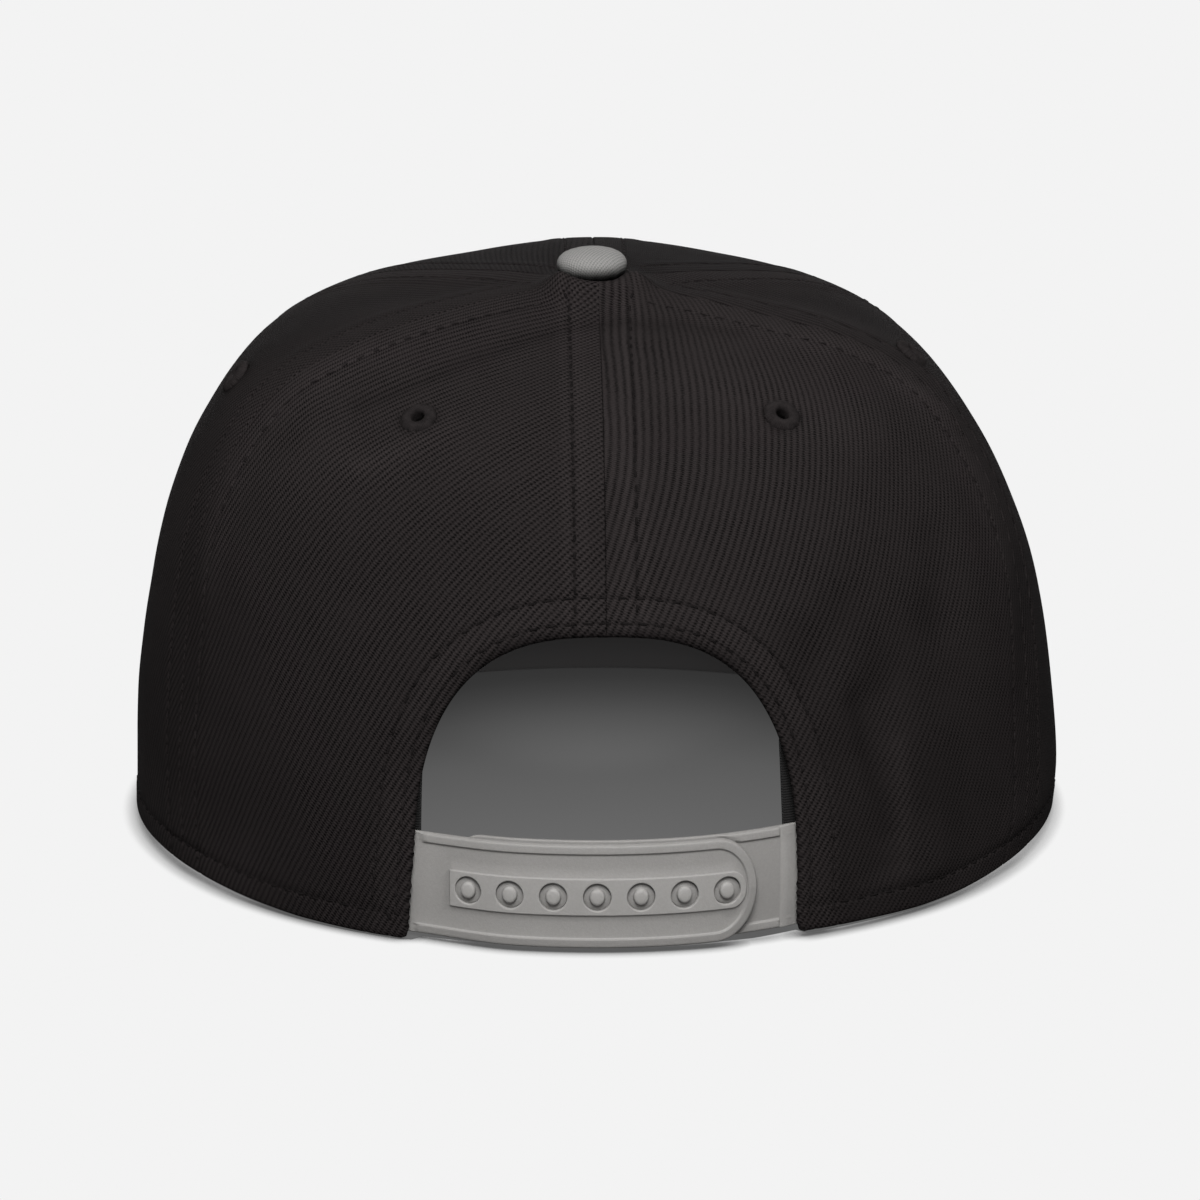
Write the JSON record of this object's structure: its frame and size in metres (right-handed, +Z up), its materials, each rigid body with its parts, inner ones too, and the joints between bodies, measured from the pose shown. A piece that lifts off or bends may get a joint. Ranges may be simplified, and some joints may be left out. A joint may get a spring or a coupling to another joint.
{
  "type": "snapback cap",
  "caption": "Panelled cloth cap with a flat visor, sewn eyelets, a covered button and a plastic snap strap across an arched opening at the back.",
  "frame": {"origin": "on the surface that the cap stands on, under the middle of its whole outline, visor included", "axes": "+Y to the front, where the visor is; +X towards the wearer's right; +Z up to the button"},
  "size_m": [0.1862, 0.255, 0.1159],
  "materials": {
    "cloth": "black cotton twill",
    "grey_cloth": "grey cotton twill",
    "thread": "satin-stitched black thread",
    "band": "black ribbed twill tape",
    "plastic": "moulded, fine matte"
  },
  "bodies": {
    "root": {"panel_rear_right": "cloth", "panel_side_right": "cloth", "panel_front_right": "cloth", "panel_front_left": "cloth", "panel_side_left": "cloth", "panel_rear_left": "cloth", "eyelet_rear_right": "thread", "eyelet_side_right": "thread", "eyelet_front_right": "thread", "eyelet_front_left": "thread", "eyelet_side_left": "thread", "eyelet_rear_left": "thread", "button": "grey_cloth", "strap_outer": "plastic", "strap_inner": "plastic", "sweatband": "band", "visor": "grey_cloth"}
  },
  "joints": []
}
